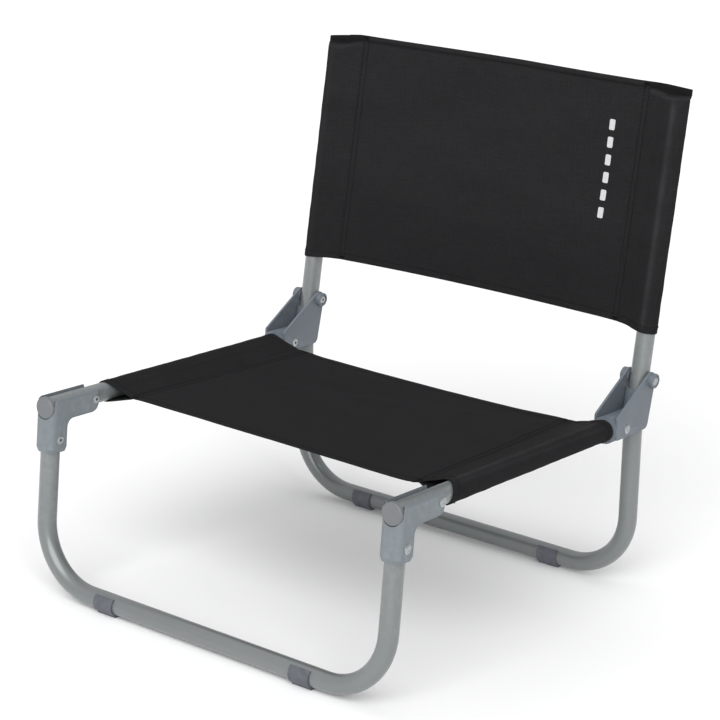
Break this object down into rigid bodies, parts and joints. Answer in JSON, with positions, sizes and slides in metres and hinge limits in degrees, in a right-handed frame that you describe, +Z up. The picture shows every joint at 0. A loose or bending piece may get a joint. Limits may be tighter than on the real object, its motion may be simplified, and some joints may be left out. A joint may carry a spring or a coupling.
{
  "type": "folding camp chair",
  "caption": "Low folding camp chair with a bent tube frame, slung cloth seat and back, front legs that fold under the seat and a seat that folds against the back.",
  "frame": {"origin": "on the ground, at the middle of the chair's width and depth when it stands open", "axes": "+Z up, +Y from the seat front to the back, X across the chair"},
  "size_m": [0.5324, 0.5398, 0.5848],
  "materials": {
    "tube_paint": "satin grey powder coat",
    "bracket_plastic": "moulded blue-grey plastic, satin",
    "hinge_plastic": "moulded darker blue-grey plastic, satin",
    "cap_plastic": "moulded grey plastic",
    "rivet_zinc": "zinc-plated steel",
    "washer_nylon": "dark grey nylon",
    "foot_plastic": "moulded purple-grey plastic",
    "cloth": "charcoal woven polyester"
  },
  "bodies": {
    "back_assembly": {"back_frame": "tube_paint", "back_plug_left": "cap_plastic", "back_plug_right": "cap_plastic", "back_cloth": "cloth", "hinge_pivot_rivet_left": "rivet_zinc", "hinge_pivot_rivet_right": "rivet_zinc", "hinge_washers_left": "washer_nylon", "hinge_washers_right": "washer_nylon", "rear_foot_left": "foot_plastic", "rear_foot_right": "foot_plastic"},
    "seat_assembly": {"seat_tube_left": "tube_paint", "seat_tube_right": "tube_paint", "seat_cap_left": "cap_plastic", "seat_cap_right": "cap_plastic", "seat_cloth": "cloth", "rear_hinge_left": "hinge_plastic", "rear_hinge_right": "hinge_plastic", "hinge_tube_rivet_left": "rivet_zinc", "hinge_tube_rivet_right": "rivet_zinc", "front_pivot_rivet_left": "rivet_zinc", "front_pivot_rivet_right": "rivet_zinc"},
    "front_leg_assembly": {"front_leg_loop": "tube_paint", "front_bracket_left": "bracket_plastic", "front_bracket_right": "bracket_plastic", "front_leg_rivet_left": "rivet_zinc", "front_leg_rivet_right": "rivet_zinc", "front_foot_left": "foot_plastic", "front_foot_right": "foot_plastic"}
  },
  "joints": [
    {"name": "seat_fold", "type": "hinge", "parent": "back_assembly", "child": "seat_assembly", "pos_m": [0, 0.2156, 0.25836], "axis": [-1, 0, 0], "range_deg": [0, 95]},
    {"name": "front_leg_fold", "type": "hinge", "parent": "seat_assembly", "child": "front_leg_assembly", "pos_m": [0, -0.18871, 0.21782], "axis": [1, 0, 0], "range_deg": [0, 90]}
  ]
}
